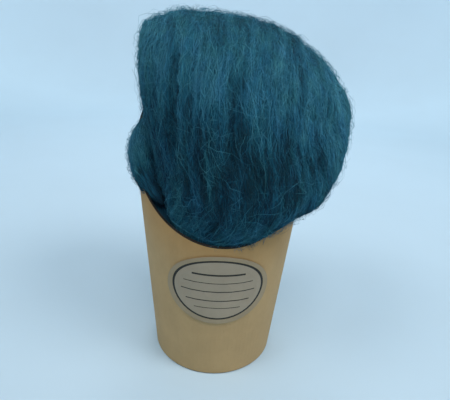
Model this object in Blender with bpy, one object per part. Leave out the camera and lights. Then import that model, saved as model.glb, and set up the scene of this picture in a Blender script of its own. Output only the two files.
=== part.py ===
"""Wool roving folded over and tucked into a slant-cut cardboard cup with a blank oval label.

Metres, +Z up.  The origin is the centre of the cup's underside, and the low side of the
cup's mouth faces -Y.  Tables are in millimetres and are scaled where they are used.
"""

import math
from collections import namedtuple

import bmesh
import bpy
from mathutils import Matrix, Vector

MM = 0.001

# Cup: a tapered card tube cut off at a slant, with a card disc for its base.
CUP_BASE_RADIUS = 35.2 * MM
CUP_FLARE = 0.0807  # radius gained for each unit of height
CARD_THICKNESS = 0.8 * MM
FOOT_ROUNDING = 0.6 * MM
MOUTH_HEIGHT = 121.5 * MM  # where the slanted mouth crosses the cup's axis
MOUTH_RISE = 0.8935  # rise of the mouth for each unit towards its high side
MOUTH_TURN = math.radians(5.8)  # the high side's turn about Z, away from +Y
ABOVE_MOUTH = 190.0 * MM  # height of the uncut tube
BASE_THICKNESS = 1.5 * MM
SEAM_GAP = 0.3 * MM  # air between pieces that touch
CUP_STEPS = 96

# Label: an oval of paper on the low side of the cup.
LABEL_HALF_WIDTH = 27.3 * MM
LABEL_HALF_HEIGHT = 20.8 * MM
LABEL_HEIGHT = 58.8 * MM  # its centre above the surface
LABEL_TURN = math.radians(3.0)
LABEL_THICKNESS = 0.4 * MM
LABEL_STEPS = 48
LABEL_RINGS = 4

# Wool: how far the roving stays from the card beside it, above its edge and below it.
WOOL_SIDE_GAP = 0.4 * MM
WOOL_EDGE_GAP = 2.0 * MM
WOOL_BASE_GAP = 0.4 * MM
BELOW_BASE = -5.0 * MM  # where the tube that clears the card begins
PLUG_DEPTH = 8.0 * MM  # how far below the mouth the packed wool in the cup ends
PLUG_STEPS = 64
RING_STEPS = 76
RINGS_PER_SECTION = 3

# The folded roving, from the mouth up to the fold's ridge: one row for each section.
# height is on the cup's axis, rise is towards the mouth's high side, and the rest are reaches.
Section = namedtuple("Section", "height rise left right front back")
FOLD_SECTIONS = (
    Section(108.0, 0.89, -41.5, 40.0, -37.5, 43.5),
    Section(113.5, 0.89, -42.0, 42.5, -39.2, 44.8),
    Section(119.0, 0.89, -41.5, 46.0, -40.5, 46.0),
    Section(124.0, 0.88, -39.5, 51.0, -41.8, 47.5),
    Section(130.0, 0.82, -38.0, 57.5, -44.5, 50.5),
    Section(137.0, 0.75, -38.5, 61.2, -48.5, 52.0),
    Section(145.5, 0.67, -40.5, 64.2, -51.0, 51.5),
    Section(154.5, 0.59, -41.5, 61.0, -51.5, 49.0),
    Section(163.5, 0.49, -41.8, 52.8, -50.0, 45.0),
    Section(171.5, 0.40, -40.8, 42.8, -46.0, 39.0),
    Section(178.0, 0.31, -39.5, 32.5, -39.0, 32.0),
    Section(183.0, 0.22, -35.8, 22.0, -29.5, 23.0),
    Section(186.0, 0.14, -28.0, 10.5, -17.0, 12.0),
    Section(187.6, 0.10, -18.0, -2.0, -1.0, -1.0),
)

# Troughs between the locks of the fold: one row for each.
# side is -1 on the front and 1 on the back.  ridge, middle and mouth say where the trough runs
# there, from 0 at the left of the section to 1 at its right.
Trough = namedtuple("Trough", "side ridge middle mouth high low depth half_width")
TROUGHS = (
    Trough(-1, 0.25, 0.20, 0.14, 187.0, 110.0, 6.0, 4.0),
    Trough(-1, 0.54, 0.46, 0.40, 188.0, 110.0, 6.5, 4.0),
    Trough(-1, 0.40, 0.35, 0.27, 160.0, 110.0, 2.5, 4.0),
    Trough(-1, 0.74, 0.67, 0.62, 180.0, 118.0, 2.5, 6.0),
    Trough(1, 0.34, 0.30, 0.32, 188.0, 118.0, 4.5, 6.0),
    Trough(1, 0.64, 0.62, 0.58, 188.0, 118.0, 4.0, 6.0),
)

# How the troughs end: shares of their own run, and of the sine of the turn round a section.
TROUGH_MOUTH_FADE = 0.25
TROUGH_RIDGE_FADE = 0.28
TROUGH_SIDE_FADE = (0.05, 0.4)
DEEPEST_TROUGH = 0.6  # of the half depth of the section there

# The lobe of roving that spills over the cup's left edge: its centre, half sizes and turn.
SPILLED_LOBE_CENTRE = Vector((-35.0, -7.0, 115.0)) * MM
SPILLED_LOBE_HALF_SIZES = Vector((12.5, 24.0, 13.0)) * MM
SPILLED_LOBE_TURN = math.radians(16.0)
LOBE_STEPS = 28

SHARP_EDGE = math.radians(40)  # a steeper edge than this is shaded as a corner
MERGE_DISTANCE = 0.01 * MM

# Each material's colour and roughness.
TEAL_WOOL = ((0.020, 0.095, 0.145, 1.0), 0.9)
BROWN_CARD = ((0.42, 0.30, 0.17, 1.0), 0.85)
WHITE_PAPER = ((0.62, 0.62, 0.58, 1.0), 0.7)


def clear_scene():
    for obj in list(bpy.data.objects):
        bpy.data.objects.remove(obj)


def make_material(name, colour, roughness):
    material = bpy.data.materials.new(name)
    material.use_nodes = True
    shader = material.node_tree.nodes["Principled BSDF"]
    shader.inputs["Base Color"].default_value = colour
    shader.inputs["Roughness"].default_value = roughness
    shader.inputs["Metallic"].default_value = 0.0
    return material


def add_object(name, shape, material=None):
    """Links the bmesh as an object; one without a material is a helper and isn't rendered."""
    bmesh.ops.recalc_face_normals(shape, faces=shape.faces)
    mesh = bpy.data.meshes.new(name)
    shape.to_mesh(mesh)
    shape.free()
    mesh.shade_smooth()
    obj = bpy.data.objects.new(name, mesh)
    bpy.context.scene.collection.objects.link(obj)
    if material is None:
        obj.hide_render = True
        obj.display_type = "WIRE"
    else:
        mesh.materials.append(material)
        mesh.set_sharp_from_angle(angle=SHARP_EDGE)
    return obj


def add_boolean(obj, other, operation):
    modifier = obj.modifiers.new(other.name, "BOOLEAN")
    modifier.operation = operation
    modifier.object = other
    modifier.solver = "EXACT"


def cup_radius(height):
    return CUP_BASE_RADIUS + CUP_FLARE * height


def towards_high_side(x, y):
    return y * math.cos(MOUTH_TURN) - x * math.sin(MOUTH_TURN)


def cut_at_mouth(shape, lift):
    """Cuts the shape off along the mouth's plane, raised by lift, and leaves the cut open."""
    normal = Vector((MOUTH_RISE * math.sin(MOUTH_TURN), -MOUTH_RISE * math.cos(MOUTH_TURN), 1.0))
    bmesh.ops.bisect_plane(
        shape,
        geom=shape.verts[:] + shape.edges[:] + shape.faces[:],
        plane_co=(0.0, 0.0, MOUTH_HEIGHT + lift),
        plane_no=normal.normalized(),
        clear_outer=True,
    )


def spin_profile(points, steps):
    """Turns a profile of (radius, height) points about Z."""
    shape = bmesh.new()
    verts = [shape.verts.new((radius, 0.0, height)) for radius, height in points]
    edges = [shape.edges.new(pair) for pair in zip(verts, verts[1:])]
    bmesh.ops.spin(
        shape,
        geom=verts + edges,
        cent=(0.0, 0.0, 0.0),
        axis=(0.0, 0.0, 1.0),
        angle=math.tau,
        steps=steps,
        use_merge=True,
    )
    return shape


def slanted_tube(inner_offset, outer_offset, bottom, lift, foot_rounding):
    """A tube that follows the cup's taper, its walls set off from the cup's outer surface."""
    inner_foot = (cup_radius(bottom) + inner_offset, bottom)
    outer_foot = cup_radius(bottom) + outer_offset
    profile = [(cup_radius(ABOVE_MOUTH) + inner_offset, ABOVE_MOUTH), inner_foot]
    if foot_rounding:
        profile.append((outer_foot - foot_rounding, bottom))
        profile.append((outer_foot, bottom + foot_rounding))
    else:
        profile.append((outer_foot, bottom))
    profile.append((cup_radius(ABOVE_MOUTH) + outer_offset, ABOVE_MOUTH))
    shape = spin_profile(profile, CUP_STEPS)
    cut_at_mouth(shape, lift)
    rim = [edge for edge in shape.edges if edge.is_boundary]
    bmesh.ops.bridge_loops(shape, edges=rim)
    return shape


def make_cup_wall(card):
    shape = slanted_tube(-CARD_THICKNESS, 0.0, 0.0, 0.0, FOOT_ROUNDING)
    return add_object("cup_wall", shape, card)


def make_cup_base(card):
    radius = cup_radius(0.0) - CARD_THICKNESS - SEAM_GAP
    shape = bmesh.new()
    bmesh.ops.create_cone(
        shape,
        cap_ends=True,
        segments=CUP_STEPS,
        radius1=radius,
        radius2=radius,
        depth=BASE_THICKNESS,
        matrix=Matrix.Translation((0.0, 0.0, BASE_THICKNESS / 2)),
    )
    return add_object("cup_base", shape, card)


def label_point(across, up, stand_off):
    """A point that lies across and up from the label's centre, measured on the cup's surface."""
    height = LABEL_HEIGHT + up
    radius = cup_radius(height)
    angle = -math.pi / 2 + LABEL_TURN + across / radius
    reach = radius + stand_off
    return Vector((reach * math.cos(angle), reach * math.sin(angle), height))


def make_label(paper):
    """An oval patch wrapped on the cup: an inner and an outer skin, joined at the edge."""
    shape = bmesh.new()
    skins = []
    for stand_off in (SEAM_GAP, SEAM_GAP + LABEL_THICKNESS):
        centre = shape.verts.new(label_point(0.0, 0.0, stand_off))
        rings = []
        for ring in range(1, LABEL_RINGS + 1):
            share = ring / LABEL_RINGS
            verts = []
            for step in range(LABEL_STEPS):
                turn = math.tau * step / LABEL_STEPS
                across = LABEL_HALF_WIDTH * share * math.cos(turn)
                up = LABEL_HALF_HEIGHT * share * math.sin(turn)
                verts.append(shape.verts.new(label_point(across, up, stand_off)))
            rings.append(verts)
        for step, vert in enumerate(rings[0]):
            shape.faces.new((centre, vert, rings[0][(step + 1) % LABEL_STEPS]))
        for inner, outer in zip(rings, rings[1:]):
            join_rings(shape, inner, outer)
        skins.append(rings[-1])
    join_rings(shape, skins[0], skins[1])
    return add_object("label", shape, paper)


def join_rings(shape, first, second):
    count = len(first)
    for step in range(count):
        after = (step + 1) % count
        shape.faces.new((first[step], first[after], second[after], second[step]))


def between(rows, place):
    """The row at a place along the table, on a smooth curve through its rows."""
    index = min(int(place), len(rows) - 2)
    share = place - index
    before = rows[max(index - 1, 0)]
    after = rows[min(index + 2, len(rows) - 1)]
    values = []
    for a, b, c, d in zip(before, rows[index], rows[index + 1], after):
        linear = (c - a) * share
        square = (2 * a - 5 * b + 4 * c - d) * share**2
        cube = (3 * b - a - 3 * c + d) * share**3
        values.append(b + (linear + square + cube) / 2)
    return Section(*values)


def fade(value, start, end):
    """0 up to start, 1 from end on, and a smooth curve between."""
    share = min(max((value - start) / (end - start), 0.0), 1.0)
    return share * share * (3 - 2 * share)


def trough_depth(side, across, width, height):
    """How far the troughs press the surface in, in millimetres."""
    pressed = 0.0
    for trough in TROUGHS:
        if trough.side * side <= 0:
            continue
        along = (height - trough.low) / (trough.high - trough.low)
        if not 0.0 < along < 1.0:
            continue
        lower = min(along, 0.5) * 2
        upper = max(along - 0.5, 0.0) * 2
        line = trough.mouth + (trough.middle - trough.mouth) * lower
        line += (trough.ridge - trough.middle) * upper
        distance = (across - line) * width / trough.half_width
        ends = fade(along, 0.0, TROUGH_MOUTH_FADE) * fade(1.0 - along, 0.0, TROUGH_RIDGE_FADE)
        pressed += trough.depth * ends * math.exp(-distance * distance)
    return pressed


def fold_point(section, turn):
    """A point of one section of the fold, at a turn round it from its right-hand end."""
    half_width = (section.right - section.left) / 2
    half_depth = (section.back - section.front) / 2
    x = (section.left + section.right) / 2 + half_width * math.cos(turn)
    y = (section.front + section.back) / 2 + half_depth * math.sin(turn)
    side = math.sin(turn)
    across = (math.cos(turn) + 1) / 2
    pressed = trough_depth(side, across, 2 * half_width, section.height)
    pressed *= fade(abs(side), *TROUGH_SIDE_FADE)
    pressed = min(pressed, DEEPEST_TROUGH * half_depth * abs(side))
    if pressed > 0.0:
        outwards = Vector((half_depth * math.cos(turn), half_width * side)).normalized()
        x -= outwards.x * pressed
        y -= outwards.y * pressed
    z = section.height + section.rise * towards_high_side(x, y)
    return Vector((x, y, z)) * MM


def fold_shape():
    """The folded roving: rings round it from the mouth up, closed along the fold's ridge."""
    shape = bmesh.new()
    rings = []
    count = (len(FOLD_SECTIONS) - 1) * RINGS_PER_SECTION
    for ring in range(count + 1):
        section = between(FOLD_SECTIONS, ring / RINGS_PER_SECTION)
        turns = (math.tau * step / RING_STEPS for step in range(RING_STEPS))
        rings.append([shape.verts.new(fold_point(section, turn)) for turn in turns])
    for lower, upper in zip(rings, rings[1:]):
        join_rings(shape, lower, upper)
    shape.faces.new(rings[0])
    bmesh.ops.remove_doubles(shape, verts=rings[-1], dist=MERGE_DISTANCE)
    return shape


def plug_shape():
    """The wool packed inside the cup, cut off parallel to the mouth."""
    bottom = BASE_THICKNESS + WOOL_BASE_GAP
    inset = CARD_THICKNESS + WOOL_SIDE_GAP
    profile = (
        (cup_radius(bottom) - inset, bottom),
        (cup_radius(ABOVE_MOUTH) - inset, ABOVE_MOUTH),
    )
    shape = spin_profile(profile, PLUG_STEPS)
    cut_at_mouth(shape, -PLUG_DEPTH)
    bmesh.ops.holes_fill(shape, edges=[edge for edge in shape.edges if edge.is_boundary])
    return shape


def spilled_lobe_shape():
    """An egg of wool that lies along the slanted edge of the cup."""
    matrix = (
        Matrix.Translation(SPILLED_LOBE_CENTRE)
        @ Matrix.Rotation(SPILLED_LOBE_TURN, 4, "Z")
        @ Matrix.Rotation(math.atan(MOUTH_RISE), 4, "X")
        @ Matrix.Diagonal((*SPILLED_LOBE_HALF_SIZES, 1.0))
        @ Matrix.Rotation(math.pi / 2, 4, "X")
    )
    shape = bmesh.new()
    rows = LOBE_STEPS // 2 + 2
    bmesh.ops.create_uvsphere(shape, u_segments=LOBE_STEPS, v_segments=rows, radius=1.0, matrix=matrix)
    return shape


def make_wool(fibre):
    """One solid: the fold, the packed wool below it and the spilled lobe, clear of the card."""
    wool = add_object("wool_roving", fold_shape(), fibre)
    add_boolean(wool, add_object("packed_wool", plug_shape()), "UNION")
    add_boolean(wool, add_object("spilled_lobe", spilled_lobe_shape()), "UNION")
    clearance = slanted_tube(
        -CARD_THICKNESS - WOOL_SIDE_GAP, WOOL_SIDE_GAP, BELOW_BASE, WOOL_EDGE_GAP, 0.0
    )
    add_boolean(wool, add_object("card_clearance", clearance), "DIFFERENCE")
    return wool


def main():
    clear_scene()
    card = make_material("brown_card", *BROWN_CARD)
    make_cup_wall(card)
    make_cup_base(card)
    make_label(make_material("white_paper", *WHITE_PAPER))
    make_wool(make_material("teal_wool", *TEAL_WOOL))


if __name__ == "__main__":
    main()
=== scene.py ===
"""Looks for a folded wool roving in a slant-cut card cup: its fibres, its card and its label.

Metres, +Z up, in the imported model's own frame.  Tables are in millimetres and are scaled where
they are used.  A chart is a map of the wool's surface: across it from 0 to 1, and along its
fibres from 0 to 1, with a point and an outward normal at each place.
"""

import math
from collections import namedtuple

import bmesh
import bpy
import numpy as np
from bpy.props import FloatProperty, FloatVectorProperty, PointerProperty
from mathutils import Matrix, Vector


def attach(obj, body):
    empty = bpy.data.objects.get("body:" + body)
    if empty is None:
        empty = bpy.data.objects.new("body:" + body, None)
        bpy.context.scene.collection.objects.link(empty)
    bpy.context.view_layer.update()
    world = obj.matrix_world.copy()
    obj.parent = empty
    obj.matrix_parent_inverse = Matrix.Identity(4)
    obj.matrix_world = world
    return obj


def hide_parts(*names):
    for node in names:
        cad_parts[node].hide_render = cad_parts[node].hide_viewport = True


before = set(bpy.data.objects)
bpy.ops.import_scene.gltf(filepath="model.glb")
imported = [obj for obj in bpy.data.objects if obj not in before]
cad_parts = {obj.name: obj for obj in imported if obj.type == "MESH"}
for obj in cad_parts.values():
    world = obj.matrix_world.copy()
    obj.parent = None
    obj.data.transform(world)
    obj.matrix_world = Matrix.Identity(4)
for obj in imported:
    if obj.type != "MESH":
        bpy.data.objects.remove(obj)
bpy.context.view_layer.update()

bl_info = {
    "name": "Wool Roving in a Cup",
    "version": (1, 0, 0),
    "blender": (4, 5, 0),
    "location": "3D View > Sidebar > Wool",
    "description": "Dresses a packed wool roving and its card cup with fibres and finishes",
    "category": "Object",
}

MM = 0.001

# The least lengths to divide by, and how far rounding may carry a place over an edge.
LEAST_VECTOR = 1e-12
LEAST_REACH = 1e-6
ROUNDING = 1e-9


def rows_of(kind, *rows):
    """Named rows of one kind."""
    return tuple(kind(*row) for row in rows)


# Cup: the tapered card tube that the frame holds, and the slanted plane of its mouth.
CUP_BASE_RADIUS = 35.2 * MM
CUP_FLARE = 0.0807
CARD_THICKNESS = 0.8 * MM
MOUTH_HEIGHT = 121.5 * MM
MOUTH_RISE = 0.8935
MOUTH_TURN = math.radians(5.8)
ABOVE_MOUTH = 190.0 * MM  # with BELOW_BASE, heights past both ends of the card
BELOW_BASE = -5.0 * MM
BASE_THICKNESS = 1.5 * MM
TUBE_STEPS = 128

# Card: painted shadow that darkens it towards the mouth, under the overhanging wool, and its cut
# edge, painted near black as the shadow in the gap beside the wool.
MOUTH_PAINTED_SHADOW = (0.92, 0.79, 0.62)
MOUTH_PAINTED_SHADOW_DEPTH = 30.0 * MM
CUT_EDGE_DEPTH = 0.3 * MM
CUT_EDGE_PAINTED_SHADOW = 0.02

# Label: where its middle lies on the cup, and the marks printed on it.
LABEL_HEIGHT = 58.8 * MM
LABEL_TURN = math.radians(3.0)
RING_HALF_WIDTH = 23.5 * MM
RING_HALF_HEIGHT = 17.8 * MM
RING_RISE = 0.3 * MM
RING_LINE = 0.028  # half the ring line's breadth, as a share of the ring's size
FIELD_TINT = (1.04, 1.11, 1.30)  # the paper inside the ring line
# Ruled lines, from the top down, in mm from the ring's middle.
Rule = namedtuple("Rule", "height half_length half_breadth")
RULES = rows_of(
    Rule,
    (9.6, 13.0, 0.5),
    (4.6, 17.5, 0.2),
    (-0.6, 19.0, 0.28),
    (-6.2, 16.5, 0.28),
    (-10.8, 12.0, 0.2),
)

# Wool: how far the core stays from the card beside it and above its edge.
WOOL_SIDE_GAP = 0.4 * MM
WOOL_EDGE_GAP = 1.2 * MM
WOOL_BASE_GAP = 0.4 * MM
PLUG_DEPTH = 8.0 * MM

# The folded roving, from the mouth up to the fold's ridge: one row for each section.
# height is on the cup's axis, rise is towards the mouth's high side, and the rest are reaches.
Section = namedtuple("Section", "height rise left right front back")
FOLD_SECTIONS = rows_of(
    Section,
    (108.0, 0.89, -41.5, 40.0, -37.5, 43.5),
    (113.5, 0.89, -42.6, 42.5, -39.2, 44.8),
    (119.0, 0.89, -43.0, 46.0, -40.5, 46.0),
    (124.0, 0.88, -41.5, 51.0, -41.8, 47.5),
    (130.0, 0.82, -39.2, 57.5, -44.5, 50.5),
    (137.0, 0.75, -38.2, 61.2, -48.5, 52.0),
    (145.5, 0.67, -39.8, 64.2, -51.0, 51.5),
    (154.5, 0.59, -41.0, 61.0, -51.5, 49.0),
    (163.5, 0.49, -41.6, 52.8, -50.0, 45.0),
    (171.5, 0.40, -41.3, 42.8, -46.0, 39.0),
    (178.0, 0.31, -40.2, 32.5, -39.0, 32.0),
    (183.0, 0.22, -35.4, 21.0, -29.5, 23.0),
    (186.0, 0.14, -24.5, 9.5, -17.0, 12.0),
    (187.4, 0.10, -14.0, -2.0, -1.0, -1.0),
)
# The fibres run straight up between these places above this height, and cross the ridge there.
RIDGE_LEFT = -38.5
RIDGE_RIGHT = 57.0
WIDEST_HEIGHT = 145.5

# Creases between the locks of the fold: one row for each.  line holds (along, across) places:
# along is 0 at the mouth in front, 0.5 at the ridge and 1 at the mouth behind.  depth and
# half_width are in mm, and dark is painted shade: how much darker the fibres are painted there,
# or, below 0, a painted highlight.
Crease = namedtuple("Crease", "line depth half_width dark")
LEFT_CREASE = ((0.19, 0.185), (0.25, 0.195), (0.31, 0.195), (0.35, 0.193))
MIDDLE_CREASE = ((0.205, 0.45), (0.255, 0.471), (0.28, 0.468), (0.33, 0.466))
CREASES = rows_of(
    Crease,
    (LEFT_CREASE, 2.6, 1.6, 0.36),
    (LEFT_CREASE, 0.9, 5.5, 0.08),
    (MIDDLE_CREASE, 2.8, 1.5, 0.38),
    (MIDDLE_CREASE, 0.8, 4.5, 0.04),
    (((0.08, 0.09), (0.14, 0.12), (0.20, 0.14), (0.25, 0.15)), 0.6, 9.0, 0.12),
    (((0.23, 0.10), (0.28, 0.105), (0.32, 0.105)), 1.0, 2.5, 0.12),
    (((0.24, 0.275), (0.31, 0.255)), 0.4, 3.0, 0.03),
    (((0.15, 0.285), (0.185, 0.30), (0.215, 0.317), (0.26, 0.338)), 1.0, 3.0, 0.22),
    (((0.16, 0.485), (0.20, 0.512), (0.245, 0.522), (0.27, 0.51)), 1.0, 5.5, 0.28),
    (((0.13, 0.395), (0.174, 0.40), (0.20, 0.43)), 1.2, 3.0, 0.28),
    (((0.04, 0.42), (0.11, 0.375), (0.15, 0.41)), 1.0, 2.5, 0.16),
    (((0.05, 0.245), (0.10, 0.24), (0.15, 0.243)), 0.8, 2.5, 0.12),
    (((0.11, 0.575), (0.17, 0.563), (0.23, 0.577)), 1.2, 5.0, 0.14),
    (((0.17, 0.64), (0.21, 0.655), (0.25, 0.68)), 0.8, 2.0, 0.10),
    (((0.25, 0.67), (0.29, 0.689), (0.32, 0.707), (0.36, 0.70)), 0.7, 3.0, 0.05),
    (((0.19, 0.80), (0.235, 0.82), (0.27, 0.85), (0.30, 0.857)), 1.0, 2.2, 0.16),
    (((0.29, 0.33), (0.36, 0.354)), -0.5, 3.0, -0.08),
    (((0.21, 0.375), (0.29, 0.375)), 0.5, 3.0, 0.18),
    (((0.34, 0.19), (0.41, 0.20)), 0.8, 2.2, 0.14),
    (((0.38, 0.41), (0.46, 0.42)), 0.6, 5.0, 0.12),
    (((0.38, 0.10), (0.45, 0.13)), 0.0, 7.0, 0.10),
    (((0.41, 0.54), (0.48, 0.55)), 0.0, 5.0, -0.12),
    (((0.31, 0.48), (0.37, 0.49)), 0.3, 3.0, 0.10),
    (((0.29, 0.53), (0.36, 0.545)), -0.4, 2.5, -0.08),
    (((0.29, 0.34), (0.36, 0.34)), 0.0, 8.0, -0.12),
    (((0.30, 0.42), (0.38, 0.42)), 0.0, 4.0, -0.12),
    (((0.31, 0.13), (0.36, 0.13)), 0.0, 3.0, -0.14),
    (((0.26, 0.53), (0.33, 0.53)), 0.0, 4.0, -0.10),
    (((0.06, 0.50), (0.10, 0.58), (0.13, 0.68), (0.16, 0.74), (0.22, 0.82)), 0.0, 5.0, -0.16),
    (((0.28, 0.22), (0.42, 0.22)), 0.0, 14.0, -0.10),
    (((0.04, 0.85), (0.15, 0.88), (0.26, 0.94)), 0.0, 12.0, -0.14),
    (((0.0, 0.18), (0.03, 0.15), (0.05, 0.108), (0.067, 0.06), (0.10, 0.02)), 0.0, 3.0, 0.34),
    (((0.03, 0.19), (0.08, 0.15), (0.13, 0.11), (0.17, 0.09)), 0.0, 4.0, 0.18),
    (((0.0, 0.20), (0.03, 0.16), (0.06, 0.11)), 5.0, 6.0, 0.45),
    (((0.25, 0.728), (0.31, 0.725)), 0.7, 2.2, 0.28),
    (((0.26, 0.812), (0.33, 0.805)), 0.0, 2.2, -0.14),
    (((0.28, 0.85), (0.33, 0.85)), 0.0, 2.2, 0.12),
    (((0.34, 0.787), (0.40, 0.787)), 0.0, 2.5, -0.12),
    (((0.43, 0.76), (0.50, 0.762)), 0.0, 3.0, -0.08),
    (((0.27, 0.655), (0.34, 0.667)), 0.0, 2.6, -0.11),
    (((0.24, 0.281), (0.28, 0.281)), 0.0, 2.6, -0.10),
    (((0.17, 0.93), (0.30, 0.93)), 0.0, 4.5, -0.26),
    (((0.13, 0.835), (0.16, 0.86), (0.20, 0.885)), -2.7, 11.5, 0.0),
    (((0.36, 0.95), (0.45, 0.95)), -1.4, 9.0, 0.0),
    (((0.60, 0.34), (0.75, 0.30), (0.92, 0.32)), 2.0, 6.0, 0.18),
    (((0.60, 0.64), (0.75, 0.62), (0.92, 0.58)), 1.7, 6.0, 0.18),
)
FOLD_WIDTH = 95.0
# Painted light and shade: how much lighter or darker the wool is painted along the fold, and from
# its left side to its right.
FOLD_PAINTED_LIGHT = (
    (0.0, 0.03),
    (0.08, -0.14),
    (0.17, -0.34),
    (0.24, -0.18),
    (0.30, 0.0),
    (0.36, 0.0),
    (0.42, -0.03),
    (0.48, -0.06),
    (0.7, 0.0),
)
FOLD_SIDE_PAINTED_LIGHT = (
    (0.0, 0.26),
    (0.06, 0.16),
    (0.15, 0.08),
    (0.25, 0.05),
    (0.6, 0.0),
    (0.75, -0.04),
    (0.86, -0.02),
    (0.93, 0.15),
    (1.0, 0.34),
)
CREASE_END = 0.05  # the share of the chart over which a crease fades in and out
CREASE_SIDE_FADE = (0.05, 0.4)
DEEPEST_CREASE = 0.6

# The lobe of roving that spills over the cup's left edge: one row for each section along it.
# angle is in degrees round the cup, inset is how far the section's middle lies inside the card's
# edge, and breadth and height are half sizes in mm.
LobeSection = namedtuple("LobeSection", "angle inset lift breadth height")
LOBE_SECTIONS = rows_of(
    LobeSection,
    (158.0, 6.4, -1.0, 0.4, 0.4),
    (167.0, 5.4, 0.6, 2.1, 3.4),
    (175.0, 5.0, 1.2, 3.1, 5.4),
    (184.0, 4.2, 1.5, 6.0, 8.2),
    (193.0, 3.7, 1.2, 7.1, 9.1),
    (202.0, 3.3, 0.2, 5.9, 7.8),
    (211.0, 3.7, -0.8, 3.9, 5.2),
    (218.0, 4.6, -1.4, 2.6, 3.2),
    (224.0, 5.6, -2.4, 0.5, 0.5),
)
LOBE_ACROSS = 120
LOBE_ALONG = 90
LOBE_TURNS = 56
LOBE_STEPS = 60
# Painted shade where the fold would shade the lobe: on its inner side, past its lit end, and all
# round it lower down.
LOBE_SHADOW = (-0.6, 0.6)
LOBE_LIT_END = (0.42, 0.62)
LOBE_LOW_SHADOW = (0.5, 0.78)
LOBE_PAINTED_SHADE = 0.58
# Painted light: the lobe's upper end is painted lighter.
LOBE_PAINTED_LIGHT = ((0.3, 0.16), (0.5, 0.07), (0.62, 0.0))

# Painted shade in the deep seam where the lobe, the fold and the cup's inside meet: from its top
# to its foot.
SEAM_TOP = Vector((-33.0, -19.0, 115.0)) * MM
SEAM_FOOT = Vector((-22.5, -29.5, 84.0)) * MM
SEAM_SIZE = Vector((6.5, 6.5, 20.5)) * MM
SEAM_PAINTED_SHADE = (0.38, 0.38, 0.44)
SEAM_FADE = (1.0, 0.45)  # where it ends and where it is darkest, as shares of its half sizes

# Locks: the uneven surface of the fold.  across and along count the bumps, height is in mm.
Bumps = namedtuple("Bumps", "across along height seed")
FOLD_BUMPS = rows_of(Bumps, (22, 5, 0.8, 11), (60, 9, 0.45, 12), (150, 18, 0.30, 13))
FOLD_SINK = 1.5  # how far the surface lies inside the fold's plain form, to leave room for fibres
FOLD_MIDDLE = np.array((6.0, 0.0, 145.0)) * MM
FOLD_ROWS = 4000
SINK_END = 0.08  # the share of the chart over which it rises to the plain form, and at its sides
SINK_SIDE = 0.12
CHART_ACROSS = 240
CHART_ALONG = 300
MERGE_DISTANCE = 0.002 * MM
SHARP_ANGLE = math.radians(50)
CORE_ACROSS = 150
CORE_ALONG = 210

# Streaks of lighter and darker wool, which bend a little across the fibres.
Streaks = namedtuple("Streaks", "across along strength seed")
BENT_STREAKS = rows_of(Streaks, (150, 24, 0.23, 71), (60, 8, 0.17, 72))
BROAD_STREAKS = Streaks(14, 4, 0.06, 73)
STREAK_BEND = Streaks(9, 14, 0.006, 70)

# Fibres: one row for each group.  limits and span are the parts of the chart, across and along,
# where they start.  Lengths, lifts and thickness are in mm, and spread and sway are in degrees.
# shade is 0 for the darkest wool and 1 for the palest.
Fibres = namedtuple(
    "Fibres", "name limits span count length spread sway lift thickness shade steps seed"
)
# What the fold's groups in front share, and what its group behind has, from span to steps.
FRONT = ((0.02, 0.54), 5000, (6, 20), 10, 13, (-0.2, 1), 0.25, 0.53, 6)
BACK = ((0.46, 0.98), 2400, (12, 40), 8, 10, (-0.3, 0.6), 0.44, 0.5, 6)
FOLD_FIBRES = rows_of(
    Fibres,
    ("fold_fibres_left", (0, 0.42), *FRONT, 21),
    ("fold_fibres_middle", (0.36, 0.66), *FRONT, 22),
    ("fold_fibres_right", (0.6, 1), *FRONT, 23),
    ("fold_fibres_back", (0, 1), *BACK, 24),
)
LOBE_FIBRES = rows_of(
    Fibres,
    ("lobe_fibres", (0, 1), (0.12, 0.74), 1300, (8, 24), 11, 15, (-0.2, 1.1), 0.25, 0.74, 6, 31),
)
CROSSING = ((0.02, 0.28), 480, (10, 34), 40, 16, (0.9, 2.4), 0.21, 0.94, 11)
FOLD_HAIRS = rows_of(
    Fibres,
    ("fuzz", (0, 1), (0.03, 0.97), 9300, (3, 10), 35, 40, (0.4, 3.4), 0.14, 0.72, 4, 41),
    ("flyaway_hairs", (0, 1), (0.03, 0.97), 1700, (6, 24), 28, 45, (0.5, 4.2), 0.12, 0.6, 7, 42),
    ("crossing_hairs", (0, 0.62), *CROSSING, 51),
)
LOBE_HAIRS = rows_of(
    Fibres,
    ("lobe_hairs", (0, 1), (0.1, 0.76), 1300, (3, 12), 35, 40, (0.3, 2.8), 0.13, 0.72, 5, 43),
)

# Each fibre lies along the chart, waves up and down, and thins and dips at its ends.  Sizes are
# shares of the group's thickness.
FIBRE_LOWNESS = 1.5  # the power that keeps most fibres low
FIBRE_SIZES = (0.6, 1.4)
FIBRE_WAVES = (3, 9)  # radians along a fibre, and FIBRE_PHASES is how far they start apart
FIBRE_PHASES = 6.3
FIBRE_END = 0.2  # the share of its length
FIBRE_END_SIZE = 0.35
FIBRE_SHADES = 0.09
# Painted light and shade: fibres that lie higher are painted lighter, and lower ones darker, for
# the shade among the fibres.
LIFT_PAINTED_LIGHT = 0.15  # how much lighter for each millimetre above LIFT_PLAIN
LIFT_PLAIN = 0.1

# Each hair starts a little inside the wool, and loops back or ends free.
HAIR_LOWNESS = 1.4
HAIR_CURVE = 1.4  # the power by which a free hair rises
HAIR_SIZES = (0.6, 1.3)
HAIR_LOOPS = 0.55  # the share that loop back
HAIR_ROOT = 0.2  # in mm
HAIR_TIP_SIZE = 0.5
HAIR_SHADES = 0.12
HAIR_END_FADE = (0.0, 0.06)  # hairs lie down towards both ends of the chart

LEAST_SPAN = 5.0 * MM  # the least width and length that a fibre takes a chart to have
SWAY_WAVES = (9 * MM, 23 * MM)

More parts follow.
